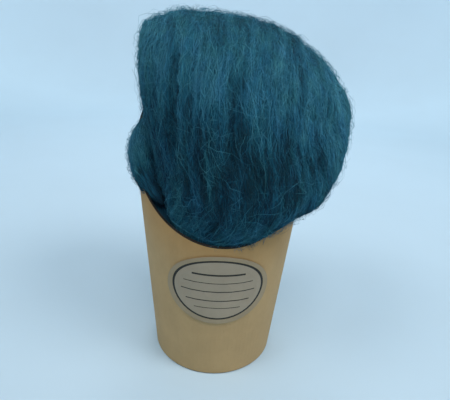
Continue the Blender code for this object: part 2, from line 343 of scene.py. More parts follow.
# Fibres this far below the card's edge keep off its outside or its inside, and others cross it.
HANGING_DEPTH = 1.0 * MM
PACKED_DEPTH = 6.0 * MM
FIBRE_GAP = 0.9 * MM
LIFT_REACH = 3 * FIBRE_GAP  # how near the card a fibre is lifted over it
LIFT_SLOPE = 1.5

UV_NAME = "fibres"
SHADE = "shade"
THICKNESS = "thickness"
TUBE_SIDES = 3

# Wool's finish and colours: its soft sheen, streaks for each metre across and along its mass,
# changes along each fibre, and tints from its bluer to its greener wool.
MASS_ROUGHNESS = 0.88
FIBRE_ROUGHNESS = 0.8
WOOL_FINISH = {
    "Specular IOR Level": 0.15,
    "Sheen Weight": 0.12,
    "Sheen Roughness": 0.45,
    "Sheen Tint": (0.25, 0.70, 0.85, 1.0),
}
WOOL_PLACES = (0.22, 0.52, 0.85)  # of its dark, middle and light colours
FINE_STREAKS = (1900.0, 75.0, 1.0)
FINE_NOISE = (1.0, 3.0)  # as every noise: its scale, its detail and its roughness if given
FINE_SHARE = 0.6
LOCK_STREAKS = (420.0, 22.0, 1.0)
LOCK_NOISE = (1.0, 2.0)
LOCK_SHARE = 0.4
# Painted shade: the mass is painted darker, for the shade under the fibres that cover it.
MASS_PAINTED_SHADE = 0.10
MASS_BUMP = (0.7 * MM, 0.7)  # as every bump: a distance and a strength
CHANGE_NOISE = (160.0, 2.0)
CHANGE_STRENGTH = 0.35
HUE_NOISE = (130.0, 3.0)
HUE_STRETCH = (1.0, 1.0, 0.3)
HUE_STOPS = ((0.35, (0.93, 0.96, 1.08, 1.0)), (0.65, (1.07, 1.04, 0.92, 1.0)))

# Card and paper: their finish, mottling and grain, and the flecks in the card.
PULP_SPECULAR = 0.3
CARD_ROUGHNESS = 0.78
PAPER_ROUGHNESS = 0.6
MOTTLE_STRETCH = (1.0, 1.0, 0.8)
MOTTLE_NOISE = (80.0, 5.0, 0.65)
FLECK_STRETCH = (1.0, 1.0, 0.3)
FLECK_NOISE = (1500.0, 2.0, 0.6)
GRAIN_NOISE = (2600.0, 2.0, 0.5)
MOTTLE_PLACES = (0.30, 0.70)
CARD_MOTTLE = (0.93, 1.06)
PAPER_MOTTLE = (0.93, 1.05)
CARD_BUMP = (0.08 * MM, 0.5)
PAPER_BUMP = (0.05 * MM, 0.4)
FLECK_STOPS = ((0.66, (0, 0, 0, 1)), (0.78, (1, 1, 1, 1)))
FLECK_STRENGTH = 0.35
FLECK_SHADE = 0.6

# Stage: a floor that sweeps up into a wall, with painted light that makes it paler from in front
# of the cup to behind it.
SWEEP_BEND = 0.35
SWEEP_STEPS = 12
WALL_TOP = 1.3
FLOOR_DROP = 0.2 * MM
FLOOR_ROUGHNESS = 0.65
FLOOR_NOISE = (6.0, 3.0)
FLOOR_SHADES = ((0.3, 0.98), (0.7, 1.01))
PAINTED_LIGHT_SPAN = (-0.03, 1.1)
FLOOR_PAINTED_LIGHT = (
    (0.0, (0.90, 0.90, 0.90, 1.0)),
    (0.31, (1.06, 1.06, 1.06, 1.0)),
    (0.72, (1.18, 1.18, 1.17, 1.0)),
    (0.92, (1.0, 1.0, 1.0, 1.0)),
)
Lamp = namedtuple("Lamp", "name place target size")
WORLD_STRENGTH = 0.04
LAMPS = rows_of(
    Lamp,
    ("top", (0.05, -0.50, 1.05), (0.0, 0.0, 0.1), 0.5),
    ("right", (0.57, -0.34, 0.94), (0.0, 0.0, 0.1), 0.45),
    ("left", (-0.50, -0.30, 0.95), (0.0, 0.0, 0.1), 0.45),
    ("wall", (0.0, 0.45, 1.1), (0.0, 1.1, 0.35), 0.4),
)

# Camera: where it stands, how far it looks down, its turn about its own line, and its lens.
CAMERA_PLACE = Vector((2.8, -206.5, 176.0)) * MM
CAMERA_PITCH = math.radians(22.241)
CAMERA_ROLL = math.radians(3.243)
CAMERA_LENS = 32.0
CAMERA_SENSOR = 36.0
CAMERA_SHIFT = 0.5 / 450  # half of one of the render's columns
CAMERA_NEAREST = 10.0 * MM


# ---------------------------------------------------------------- numbers and charts


def fade(value, start, end):
    """0 up to start, 1 from end on, and a smooth curve between."""
    share = np.clip((value - start) / (end - start), 0.0, 1.0)
    return share * share * (3 - 2 * share)


def fade_ends(share, size):
    """1 along the middle, and down to 0 over this much at each end."""
    return fade(share, 0.0, size) * fade(1 - share, 0.0, size)


def unit(vectors):
    """The vectors at a length of 1."""
    return vectors / np.maximum(np.linalg.norm(vectors, axis=-1, keepdims=True), LEAST_VECTOR)


def card_radius(height):
    """How far out the card's outside stands at a height."""
    return CUP_BASE_RADIUS + CUP_FLARE * height


def uphill(x, y):
    """How far a place lies towards the mouth's high side."""
    return y * math.cos(MOUTH_TURN) - x * math.sin(MOUTH_TURN)


def painted_light_at(place, table):
    """How much lighter the wool is painted, as painted light or shade, by a table of (place, tone)
    rows.
    """
    return np.interp(place, *np.array(table).T)


def between(grid, i, j, s, t):
    """What lies at shares s and t of the way from places i and j of a grid to the next."""
    low = grid[i, j] * (1 - t) + grid[i, j + 1] * t
    high = grid[i + 1, j] * (1 - t) + grid[i + 1, j + 1] * t
    return low * (1 - s) + high * s


def smooth_noise(across, along, cells_across, cells_along, seed):
    """Soft bumps between -1 and 1 over shares across and along."""
    heights = np.random.default_rng(seed).uniform(-1, 1, (cells_across + 2, cells_along + 2))
    a = np.clip(across, 0, 1) * cells_across
    b = np.clip(along, 0, 1) * cells_along
    i = np.minimum(a.astype(int), cells_across - 1)
    j = np.minimum(b.astype(int), cells_along - 1)
    return between(heights, i, j, fade(a - i, 0, 1), fade(b - j, 0, 1))


def smooth_rows(table, count):
    """Rows on smooth curves through the rows of a table."""
    rows = np.array(table)
    place = np.linspace(0, len(rows) - 1, count)
    index = np.minimum(place.astype(int), len(rows) - 2)
    share = (place - index)[:, None]
    a = rows[np.maximum(index - 1, 0)]
    b = rows[index]
    c = rows[index + 1]
    d = rows[np.minimum(index + 2, len(rows) - 1)]
    linear = (c - a) * share
    square = (2 * a - 5 * b + 4 * c - d) * share**2
    cube = (3 * b - a - 3 * c + d) * share**3
    return b + (linear + square + cube) / 2


def crease_strength(crease, across, along, width):
    """How much of a crease lies at each place: 1 in its middle, and 0 away from it."""
    line = np.array(crease.line)
    middle = np.interp(along, line[:, 0], line[:, 1])
    start, end = line[0, 0], line[-1, 0]
    ends = fade(along, start - CREASE_END / 2, start + CREASE_END / 2)
    ends = ends * fade(-along, -end - CREASE_END / 2, -end + CREASE_END / 2)
    distance = (across - middle) * width / crease.half_width
    return ends * np.exp(-distance * distance)


def fan_line(across, height, left, right):
    """Where the fibres at each share across run at a height of the fold."""
    above = height > WIDEST_HEIGHT
    left = np.where(above, np.minimum(left, RIDGE_LEFT), left)
    right = np.where(above, np.maximum(right, RIDGE_RIGHT), right)
    return left + across * (right - left)


def ridge_heights(across, table):
    """How high the fibres at each share across go before they leave the fold's sections."""
    height, left, right = table[:, 0], table[:, 2], table[:, 3]
    x = fan_line(across, height, left, right)
    inside = np.minimum(x - left, right - x) > -ROUNDING
    last = len(table) - 1 - np.argmax(inside[:, ::-1], axis=1)
    return height[last]


def fold_points(across, share, side):
    """Points of the fold: share runs from mouth to ridge, and side is -1 in front, 1 behind."""
    table = smooth_rows(FOLD_SECTIONS, FOLD_ROWS)
    heights = table[:, 0]
    ridge = ridge_heights(across, table)[:, None]
    height = heights[0] + (ridge - heights[0]) * np.sin(share * math.pi / 2)
    rise, left, right, front, back = (np.interp(height, heights, table[:, c]) for c in range(1, 6))
    width = right - left
    x = fan_line(across, height, left, right)
    spread = fan_line(1.0, height, left, right) - fan_line(0.0, height, left, right)
    place = np.clip((x - left) / width, 0.0, 1.0)
    x = left + width * place
    cosine = 2 * place - 1
    sine = np.sqrt(np.maximum(1 - cosine**2, 0.0))
    half_depth = (back - front) / 2
    y = (front + back) / 2 + side * half_depth * sine
    along = 0.5 + side * (1 - share) / 2
    pressed = sum(c.depth * crease_strength(c, across, along, spread) for c in CREASES)
    pressed = pressed * fade(sine, *CREASE_SIDE_FADE)
    pressed = np.minimum(pressed, DEEPEST_CREASE * half_depth * sine)
    outwards = unit(np.stack([half_depth * cosine, side * width / 2 * sine], -1))
    x = x - outwards[..., 0] * pressed
    y = y - outwards[..., 1] * pressed
    return np.stack([x, y, height + rise * uphill(x, y)], -1) * MM


def streaks_of(across, along, row):
    return row.strength * smooth_noise(across, along, row.across, row.along, row.seed)


def streak_shade(across, along):
    """Fine streaks, locks and broad patches of lighter and darker wool."""
    bent = across + streaks_of(across, along, STREAK_BEND)
    shade = sum(streaks_of(bent, along, streaks) for streaks in BENT_STREAKS)
    return shade + streaks_of(across, along, BROAD_STREAKS)


def fold_shade(turn, along):
    """How light the fold's wool is: streaks, painted shade in its creases and towards the mouth in
    front, and painted light at its sides.
    """
    across = (1 - np.cos(turn * math.pi)) / 2
    painted_crease_shade = sum(c.dark * crease_strength(c, across, along, FOLD_WIDTH) for c in CREASES)
    painted_light = painted_light_at(along, FOLD_PAINTED_LIGHT) + painted_light_at(across, FOLD_SIDE_PAINTED_LIGHT)
    return streak_shade(turn, along) + painted_light - painted_crease_shade


def lobe_shade(across, along):
    """How light the lobe's wool is: painted shade where it lies against the fold and at its lower
    end, and painted light towards its upper end.
    """
    inner = fade(-np.cos(across * math.tau), *LOBE_SHADOW)
    inner = inner * fade(along, *LOBE_LIT_END)
    low = fade(along, *LOBE_LOW_SHADOW)
    painted_light = painted_light_at(along, LOBE_PAINTED_LIGHT) - LOBE_PAINTED_SHADE * np.maximum(inner, low)
    return streak_shade(across, along) + painted_light


class Chart:
    """A surface by its points and outward normals over shares across and along its fibres."""

    def __init__(self, points, inside, wraps, shade=streak_shade):
        self.wraps = wraps
        self.shade = shade
        self.points = points
        across = np.gradient(points, axis=0)
        along = np.gradient(points, axis=1)
        normals = unit(np.cross(across, along))
        inwards = (normals * (points - inside)).sum(-1) < 0
        normals[inwards] *= -1
        self.normals = normals
        self.breadths = np.linalg.norm(across, axis=-1) * (points.shape[0] - 1)
        self.lengths = np.linalg.norm(along, axis=-1) * (points.shape[1] - 1)

    def sample(self, grid, across, along):
        """What a grid holds at shares across and along, by linear steps between its places."""
        a = np.clip(across, 0, 1) * (grid.shape[0] - 1)
        b = np.clip(along, 0, 1) * (grid.shape[1] - 1)
        i = np.minimum(a.astype(int), grid.shape[0] - 2)
        j = np.minimum(b.astype(int), grid.shape[1] - 2)
        s = a - i
        t = b - j
        if grid.ndim == 3:
            s = s[..., None]
            t = t[..., None]
        return between(grid, i, j, s, t)

    def scatter(self, rng, count, group):
        """Random places, as many for each unit of area, inside the group's limits and span."""
        rows, columns = self.breadths.shape
        weights = self.breadths * self.lengths
        along = np.linspace(0, 1, columns)
        across = np.linspace(0, 1, rows)
        weights = weights * ((along >= group.span[0]) & (along <= group.span[1]))
        weights = weights * ((across >= group.limits[0]) & (across <= group.limits[1]))[:, None]
        chances = (weights / weights.sum()).ravel()
        chosen = rng.choice(rows * columns, count, p=chances)
        spots_across = (chosen // columns + rng.random(count)) / rows
        spots_along = (chosen % columns + rng.random(count)) / columns
        return spots_across, spots_along

    def walk(self, across, along, headings, step):
        """Follows headings, one column for each step, and returns shares across and along."""
        sense = np.ones_like(across)
        places = [(across, along)]
        for heading in headings.T:
            breadth = np.maximum(self.sample(self.breadths, across, along), LEAST_SPAN)
            length = np.maximum(self.sample(self.lengths, across, along), LEAST_SPAN)
            across = across + sense * step * np.sin(heading) / breadth
            along = along + sense * step * np.cos(heading) / length
            if self.wraps:
                across = across % 1.0
            else:
                over = (across < 0) | (across > 1)
                across = np.where(across < 0, -across, across)
                across = np.where(across > 1, 2 - across, across)
                along = np.where(over, 1 - along, along)
                sense = np.where(over, -sense, sense)
            along = np.clip(along, 0.0, 1.0)
            places.append((across, along))
        return np.stack([p[0] for p in places], 1), np.stack([p[1] for p in places], 1)


def fold_relief(across, along):
    """The height of the fold's locks above its plain form."""
    height = -FOLD_SINK
    for bumps in FOLD_BUMPS:
        height = height + bumps.height * smooth_noise(across, along, *bumps[:2], bumps.seed)
    return height * MM * fade_ends(along, SINK_END)


def fold_chart():
    """The fold's surface from the mouth in front, over the ridge, to the mouth behind."""
    turn = np.linspace(0, 1, CHART_ACROSS)
    across = (1 - np.cos(turn * math.pi)) / 2
    half = np.linspace(0, 1, CHART_ALONG // 2)
    front = fold_points(across[:, None], half[None, :], -1)
    back = fold_points(across[:, None], half[None, ::-1], 1)
    points = np.concatenate([front, back[:, 1:]], axis=1)
    plain = Chart(points, FOLD_MIDDLE, wraps=False)
    grid_across, grid_along = np.meshgrid(turn, np.linspace(0, 1, points.shape[1]), indexing="ij")
    sides = np.sin(grid_across * math.pi)
    relief = fold_relief(grid_across, grid_along) * fade(sides, 0.0, SINK_SIDE)
    points = points + plain.normals * relief[..., None]
    return Chart(points, FOLD_MIDDLE, wraps=False, shade=fold_shade)


def edge_points(angle, inset):
    """Points on the plane of the mouth, at angles round the cup and inside the card's edge."""
    slope = MOUTH_RISE * np.sin(angle - MOUTH_TURN)
    height = MOUTH_HEIGHT + slope * (CUP_BASE_RADIUS - inset)
    height = height / (1 - slope * CUP_FLARE)
    radius = CUP_BASE_RADIUS - inset + CUP_FLARE * height
    return np.stack([radius * np.cos(angle), radius * np.sin(angle), height], -1)


def lobe_chart():
    """The spilled lobe's surface, with its fibres from end to end."""
    rows = smooth_rows(LOBE_SECTIONS, LOBE_ALONG)
    angle = np.radians(rows[:, 0])
    inset, lift, breadth, height = rows[:, 1:].T * MM
    middle = edge_points(angle, inset)
    middle[:, 2] += lift
    forward = unit(np.gradient(middle, axis=0))
    outward = np.stack([np.cos(angle), np.sin(angle), np.zeros_like(angle)], -1)
    outward = unit(outward - forward * (outward * forward).sum(-1, keepdims=True))
    upward = np.cross(outward, forward)
    turn = np.linspace(0, 1, LOBE_ACROSS)[:, None, None] * math.tau
    points = middle + outward * breadth[:, None] * np.cos(turn)
    points = points + upward * height[:, None] * np.sin(turn)
    return Chart(points, middle, wraps=True, shade=lobe_shade)


# ---------------------------------------------------------------- meshes


def add_object(name, data):
    item = bpy.data.objects.new(name, data)
    bpy.context.scene.collection.objects.link(item)
    return item


def add_piece(name, mesh, material):
    """Adds the mesh as a piece that stands with the cup."""
    piece = add_object(name, mesh)
    mesh.materials.clear()
    mesh.materials.append(material)
    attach(piece, "root")
    return piece


def add_helper(name, shape):
    bmesh.ops.recalc_face_normals(shape, faces=shape.faces)
    mesh = bpy.data.meshes.new(name)
    shape.to_mesh(mesh)
    shape.free()
    return add_object(name, mesh)


def evaluated_mesh(obj, name):
    """The object's mesh with its modifiers applied."""
    graph = bpy.context.evaluated_depsgraph_get()
    mesh = bpy.data.meshes.new_from_object(obj.evaluated_get(graph))
    mesh.name = name
    return mesh


def cut_at_mouth(shape, lift):
    """Cuts the shape off along the mouth's plane, raised by lift, and leaves the cut open."""
    normal = Vector((MOUTH_RISE * math.sin(MOUTH_TURN), -MOUTH_RISE * math.cos(MOUTH_TURN), 1.0))
    bmesh.ops.bisect_plane(
        shape,
        geom=shape.verts[:] + shape.edges[:] + shape.faces[:],
        plane_co=(0.0, 0.0, MOUTH_HEIGHT + lift),
        plane_no=normal.normalized(),
        clear_outer=True,
    )


def spin_profile(points):
    """Turns a profile of (radius, height) points about Z."""
    shape = bmesh.new()
    shape.loops.layers.uv.new(UV_NAME)
    verts = [shape.verts.new((radius, 0.0, height)) for radius, height in points]
    edges = [shape.edges.new(pair) for pair in zip(verts, verts[1:])]
    bmesh.ops.spin(
        shape,
        geom=verts + edges,
        cent=(0.0, 0.0, 0.0),
        axis=(0.0, 0.0, 1.0),
        angle=math.tau,
        steps=TUBE_STEPS,
        use_merge=True,
    )
    return shape


def open_edges(shape):
    return [edge for edge in shape.edges if edge.is_boundary]


def lay_uv(shape, scale):
    """Lays the shape's UV map over its X and Y, at a scale for each."""
    uv = shape.loops.layers.uv[UV_NAME]
    for face in shape.faces:
        for loop in face.loops:
            loop[uv].uv = (loop.vert.co.x * scale[0], loop.vert.co.y * scale[1])


def card_clearance():
    """The room that the card takes from the wool: a tube thicker and higher than the card."""
    inner, outer = -CARD_THICKNESS - WOOL_SIDE_GAP, WOOL_SIDE_GAP
    shape = spin_profile(
        (
            (card_radius(ABOVE_MOUTH) + inner, ABOVE_MOUTH),
            (card_radius(BELOW_BASE) + inner, BELOW_BASE),
            (card_radius(BELOW_BASE) + outer, BELOW_BASE),
            (card_radius(ABOVE_MOUTH) + outer, ABOVE_MOUTH),
        )
    )
    cut_at_mouth(shape, WOOL_EDGE_GAP)
    bmesh.ops.bridge_loops(shape, edges=open_edges(shape))
    return shape


def packed_wool():
    """The wool packed inside the cup."""
    bottom = BASE_THICKNESS + WOOL_BASE_GAP
    inset = CARD_THICKNESS + WOOL_SIDE_GAP
    shape = spin_profile(
        (
            (card_radius(bottom) - inset, bottom),
            (card_radius(ABOVE_MOUTH) - inset, ABOVE_MOUTH),
        )
    )
    cut_at_mouth(shape, -PLUG_DEPTH)
    bmesh.ops.holes_fill(shape, edges=open_edges(shape))
    lay_uv(shape, (1.0, 1.0))
    return shape


def chart_core(chart, steps_across, steps_along):
    """A closed sheet over a chart, zipped up where its sides meet and capped at its ends."""
    shape = bmesh.new()
    shape.loops.layers.uv.new(UV_NAME)
    bmesh.ops.create_grid(shape, x_segments=steps_across, y_segments=steps_along, size=0.5)
    places = np.array([vert.co.xy for vert in shape.verts]) + 0.5
    lay_uv(shape, (float(chart.breadths.mean()), float(chart.lengths.mean())))
    for vert, point in zip(shape.verts, chart.sample(chart.points, places[:, 0], places[:, 1])):
        vert.co = point
    bmesh.ops.remove_doubles(shape, verts=shape.verts, dist=MERGE_DISTANCE)
    bmesh.ops.holes_fill(shape, edges=open_edges(shape))
    return shape


# ---------------------------------------------------------------- fibres


def clear_of_card(points):
    """Moves points that are near the card over its edge, or away from its inside or outside."""
    x, y, z = points[..., 0], points[..., 1], points[..., 2]
    above = z - (MOUTH_HEIGHT + MOUTH_RISE * uphill(x, y))
    reach = np.hypot(x, y)
    outer = card_radius(z)
    hanging = (reach > outer - CARD_THICKNESS / 2) & (above < -HANGING_DEPTH)
    packed = (reach < outer - CARD_THICKNESS / 2) & (above < -PACKED_DEPTH)
    aside = np.abs(reach - outer + CARD_THICKNESS / 2) - CARD_THICKNESS / 2 - FIBRE_GAP
    needed = FIBRE_GAP - np.maximum(aside, 0.0) * LIFT_SLOPE
    near = (aside < LIFT_REACH) & ~hanging & ~packed
    lift = np.where(near, np.maximum(needed - above, 0.0), 0.0)
    wanted = np.where(hanging, np.maximum(reach, outer + FIBRE_GAP), reach)
    inner = outer - CARD_THICKNESS - FIBRE_GAP
    wanted = np.where(packed, np.minimum(wanted, inner), wanted)
    scale = wanted / np.maximum(reach, LEAST_REACH)
    return np.stack([x * scale, y * scale, z + lift], -1)


def sways(rng, count, steps, step, strength):
    """Smooth random turns along each fibre: one row for each, one column for each step."""
    run = np.arange(steps)[None, :] * step[:, None]
    turns = 0.0
    for wave in SWAY_WAVES:
        phase = rng.random(count)[:, None] * math.tau
        size = rng.normal(0, 1, count)[:, None]
        turns = turns + size * np.sin(run / wave * math.tau + phase)
    return turns * strength


def tubes_group():
    """Geometry nodes that turn each line into a three-sided tube with closed ends."""
    tree = bpy.data.node_groups.get("fibre_tubes")
    if tree is not None:
        return tree
    tree = bpy.data.node_groups.new("fibre_tubes", "GeometryNodeTree")
    tree.interface.new_socket("Lines", in_out="INPUT", socket_type="NodeSocketGeometry")
    tree.interface.new_socket("Tubes", in_out="OUTPUT", socket_type="NodeSocketGeometry")
    lines = tree.nodes.new("NodeGroupInput").outputs["Lines"]
    curves = add_node(tree, "GeometryNodeMeshToCurve", {"Mesh": lines}).outputs["Curve"]
    circle = {"Resolution": TUBE_SIDES, "Radius": 1.0}
    outline = add_node(tree, "GeometryNodeCurvePrimitiveCircle", circle).outputs["Curve"]
    named = {"Name": THICKNESS}
    size = add_node(tree, "GeometryNodeInputNamedAttribute", named, data_type="FLOAT")
    size = size.outputs["Attribute"]
    inputs = {"Curve": curves, "Profile Curve": outline, "Scale": size, "Fill Caps": True}
    tubes = add_node(tree, "GeometryNodeCurveToMesh", inputs).outputs["Mesh"]
    smooth = add_node(tree, "GeometryNodeSetShadeSmooth", {"Geometry": tubes})
    add_node(tree, "NodeGroupOutput", {"Tubes": smooth.outputs["Geometry"]})
    return tree


def add_fibres(name, points, thickness, shade, material):
    """A piece of joined tubes, one along each row of points."""
    count, steps = points.shape[:2]
    mesh = bpy.data.meshes.new(name + "_lines")
    mesh.vertices.add(count * steps)
    mesh.vertices.foreach_set("co", points.astype(np.float32).ravel())
    index = np.arange(count * steps, dtype=np.int32).reshape(count, steps)
    pairs = np.stack([index[:, :-1], index[:, 1:]], -1).reshape(-1, 2)
    mesh.edges.add(len(pairs))
    mesh.edges.foreach_set("vertices", pairs.ravel())
    for label, values in ((THICKNESS, thickness), (SHADE, shade)):
        layer = mesh.attributes.new(label, "FLOAT", "POINT")
        layer.data.foreach_set("value", values.astype(np.float32).ravel())
    lines = add_object(name + "_lines", mesh)
    lines.modifiers.new("tubes", "NODES").node_group = tubes_group()
    tubes = evaluated_mesh(lines, name)
    tubes.attributes.remove(tubes.attributes[THICKNESS])
    bpy.data.objects.remove(lines)
    bpy.data.meshes.remove(mesh)
    add_piece(name, tubes, material)


def lay_lines(rng, chart, group):
    """Lines along a chart: their places, points and normals, and the share along each."""
    count = group.count
    across, along = chart.scatter(rng, count, group)
    length = rng.uniform(*group.length, count) * MM
    step = length / (group.steps - 1)
    headings = rng.normal(0, math.radians(group.spread), count)[:, None]
    headings = headings + sways(rng, count, group.steps - 1, step, math.radians(group.sway))
    headings += np.where(rng.random(count) < 0.5, 0.0, math.pi)[:, None]
    places = chart.walk(across, along, headings, step)
    points = chart.sample(chart.points, *places)
    normals = unit(chart.sample(chart.normals, *places))
    return places, points, normals, np.linspace(0, 1, group.steps)[None, :]


def grow_fibres(chart, group, settings):
    """Points, thickness and shade of fibres that lie along a chart and dip in at their ends."""
    rng = np.random.default_rng(group.seed)
    places, points, normals, run = lay_lines(rng, chart, group)
    count = group.count
    low, high = group.lift
    top = rng.random((count, 1)) ** FIBRE_LOWNESS
    waves = rng.uniform(*FIBRE_WAVES, (count, 1))
    wave = 0.5 + 0.5 * np.sin(run * waves + rng.random((count, 1)) * FIBRE_PHASES)
    lift = low + (high - low) * top * wave
    ends = fade_ends(run, FIBRE_END)
    lift = lift * ends + low * (1 - ends)
    points = points + normals * lift[..., None] * MM
    sizes = group.thickness * settings.thickness_scale * rng.uniform(*FIBRE_SIZES, (count, 1))
    thickness = sizes * MM / 2 * (FIBRE_END_SIZE + (1 - FIBRE_END_SIZE) * ends)
    shade = group.shade + FIBRE_SHADES * rng.normal(0, 1, (count, 1))
    # Painted light and shade: by the fibre's lift, and by the chart's creases, sides and ends.
    shade = shade + LIFT_PAINTED_LIGHT * (lift - LIFT_PLAIN) + chart.shade(*places)
    return clear_of_card(points), thickness, np.clip(shade, 0, 1)


def grow_hairs(chart, group, settings):
    """Points, thickness and shade of loose hairs that stand off a chart and curl."""
    rng = np.random.default_rng(group.seed)
    places, points, normals, run = lay_lines(rng, chart, group)
    count = group.count
    low, high = group.lift
    top = low + (high - low) * rng.random((count, 1)) ** HAIR_LOWNESS
    loop = np.sin(run * math.pi)
    free = run**HAIR_CURVE
    lift = top * np.where(rng.random((count, 1)) < HAIR_LOOPS, loop, free) - HAIR_ROOT
    lift = lift * fade(np.minimum(places[1], 1 - places[1]), *HAIR_END_FADE)
    points = points + normals * lift[..., None] * MM
    sizes = group.thickness * settings.thickness_scale * rng.uniform(*HAIR_SIZES, (count, 1))
    thickness = sizes * MM / 2 * (1 - (1 - HAIR_TIP_SIZE) * run)
    # The chart's shade adds painted light and shade to the hairs.
    shade = group.shade + HAIR_SHADES * rng.normal(0, 1, (count, 1)) + chart.shade(*places)
    return clear_of_card(points), thickness, np.clip(shade, 0, 1)


# ---------------------------------------------------------------- node helpers


def join(tree, value, socket):
    """Gives a socket its value, or joins it to an output."""
    if isinstance(value, bpy.types.NodeSocket):
        tree.links.new(value, socket)
    else:
        socket.default_value = value


def add_node(tree, kind, inputs=(), **settings):
    """A node with these settings and inputs, each of them a value or an output."""
    node = tree.nodes.new(kind)
    for name, value in settings.items():
        setattr(node, name, value)
    for name, value in dict(inputs).items():
        join(tree, value, node.inputs[name])
    return node


def new_material(name, inputs):
    """A material, its node tree, and its shader with these inputs."""
    material = bpy.data.materials.new(name)
    material.use_nodes = True
    shader = material.node_tree.nodes["Principled BSDF"]
    for label, value in inputs.items():
        shader.inputs[label].default_value = value
    return material, material.node_tree, shader


def math_node(tree, operation, *values):
    """A Math node over numbers and outputs, by its own output."""
    return add_node(tree, "ShaderNodeMath", enumerate(values), operation=operation).outputs[0]


def mix_colours(tree, factor, first, second):
    node = add_node(tree, "ShaderNodeMix", data_type="RGBA")
    for name, value in (("Factor", factor), ("A", first), ("B", second)):
        join(tree, value, next(s for s in node.inputs if s.name == name and s.enabled))
    return next(s for s in node.outputs if s.enabled)


def tinted(tree, colour, tint, factor=1.0):
    """The colour multiplied by a tint, as far as the factor says."""
    mixed = mix_colours(tree, factor, colour, tint)
    mixed.node.blend_type = "MULTIPLY"
    return mixed


def share_between(tree, value, low, high):
    """0 where the value is low or less, 1 where it is high or more, and even between."""
    inputs = {"Value": value, "From Min": low, "From Max": high}
    return add_node(tree, "ShaderNodeMapRange", inputs).outputs["Result"]


def shade_ramp(tree, value, stops):
    """A colour ramp through (place, colour) stops."""
    node = add_node(tree, "ShaderNodeValToRGB", {"Fac": value})
    ramp = node.color_ramp
    while len(ramp.elements) < len(stops):
        ramp.elements.new(1.0)
    for element, (place, colour) in zip(ramp.elements, stops):
        element.position = place
        element.color = colour
    return node.outputs["Color"]


def noise(tree, vector, scale, detail=3.0, roughness=0.55):
    inputs = {"Vector": vector, "Scale": scale, "Detail": detail, "Roughness": roughness}
    return add_node(tree, "ShaderNodeTexNoise", inputs).outputs["Fac"]


def object_place(tree):
    return tree.nodes.new("ShaderNodeTexCoord").outputs["Object"]


def axes_of(tree, vector):
    return add_node(tree, "ShaderNodeSeparateXYZ", {"Vector": vector}).outputs[:]


def stretched(tree, vector, scale):
    inputs = {"Vector": vector, "Scale": scale}
    return add_node(tree, "ShaderNodeMapping", inputs).outputs["Vector"]


def bump(tree, height, distance, strength, shader):
    inputs = {"Height": height, "Distance": distance, "Strength": strength}
    normal = add_node(tree, "ShaderNodeBump", inputs).outputs["Normal"]
    tree.links.new(normal, shader.inputs["Normal"])


def patterned(tree, name, pattern, vector):
    """What a pattern makes of a vector, by a node group that is made when first asked for."""
    group = bpy.data.node_groups.get(name)
    if group is None:
        group = bpy.data.node_groups.new(name, "ShaderNodeTree")
        group.interface.new_socket("Vector", in_out="INPUT", socket_type="NodeSocketVector")
        outputs = pattern(group, group.nodes.new("NodeGroupInput").outputs["Vector"])
        for label in outputs:
            group.interface.new_socket(label, in_out="OUTPUT", socket_type="NodeSocketFloat")
        add_node(group, "NodeGroupOutput", outputs)
    return add_node(tree, "ShaderNodeGroup", {"Vector": vector}, node_tree=group).outputs


def fibre_streaks(tree, vector):
    """Fine streaks along V: a shade and a height for wool that lies in one direction."""
    fine = noise(tree, stretched(tree, vector, FINE_STREAKS), *FINE_NOISE)
    locks = noise(tree, stretched(tree, vector, LOCK_STREAKS), *LOCK_NOISE)
    parts = ((fine, FINE_SHARE), (locks, LOCK_SHARE))
    parts = [math_node(tree, "MULTIPLY", *part) for part in parts]
    return {"Shade": math_node(tree, "ADD", *parts), "Height": fine}


def card_fibre(tree, vector):
    """Soft mottling, short flecks and a fine grain for card and paper."""
    return {
        "Mottle": noise(tree, stretched(tree, vector, MOTTLE_STRETCH), *MOTTLE_NOISE),
        "Fleck": noise(tree, stretched(tree, vector, FLECK_STRETCH), *FLECK_NOISE),
        "Height": noise(tree, vector, *GRAIN_NOISE),
    }


def wool_material(name, roughness):
    return new_material(name, {**WOOL_FINISH, "Roughness": roughness})


def wool_stops(settings):
    colours = (settings.dark, settings.middle, settings.light)
    return [(place, (*colour, 1.0)) for place, colour in zip(WOOL_PLACES, colours)]


def wool_seam(tree, vector):
    """How deep a place lies in the seam between the lobe and the fold: the mask of its painted
    shade.
    """
    inputs = {
        "Vector": vector,
        "Location": (SEAM_TOP + SEAM_FOOT) / 2,
        "Rotation": (SEAM_TOP - SEAM_FOOT).to_track_quat("Z", "Y").to_euler(),
        "Scale": SEAM_SIZE,
    }
    inner = add_node(tree, "ShaderNodeMapping", inputs, vector_type="TEXTURE").outputs["Vector"]
    reach = add_node(tree, "ShaderNodeVectorMath", {0: inner}, operation="LENGTH")
    return {"Depth": share_between(tree, reach.outputs["Value"], *SEAM_FADE)}


def with_painted_seam_shade(tree, colour, place):
    """The colour, with painted shade in the seam."""
    depth = patterned(tree, "wool_seam", wool_seam, place)["Depth"]
    return tinted(tree, colour, (*SEAM_PAINTED_SHADE, 1.0), depth)


def core_material(settings):
    """Wool seen as a mass: streaks that follow the piece's own UV map."""
    material, tree, shader = wool_material("wool_mass", MASS_ROUGHNESS)
    place = add_node(tree, "ShaderNodeUVMap", uv_map=UV_NAME).outputs["UV"]
    streaks = patterned(tree, "fibre_streaks", fibre_streaks, place)
    # Painted shade under the fibres.
    shade = math_node(tree, "SUBTRACT", streaks["Shade"], MASS_PAINTED_SHADE)
    colour = with_painted_seam_shade(tree, shade_ramp(tree, shade, wool_stops(settings)), object_place(tree))
    tree.links.new(colour, shader.inputs["Base Color"])
    bump(tree, streaks["Height"], *MASS_BUMP, shader)
    return material


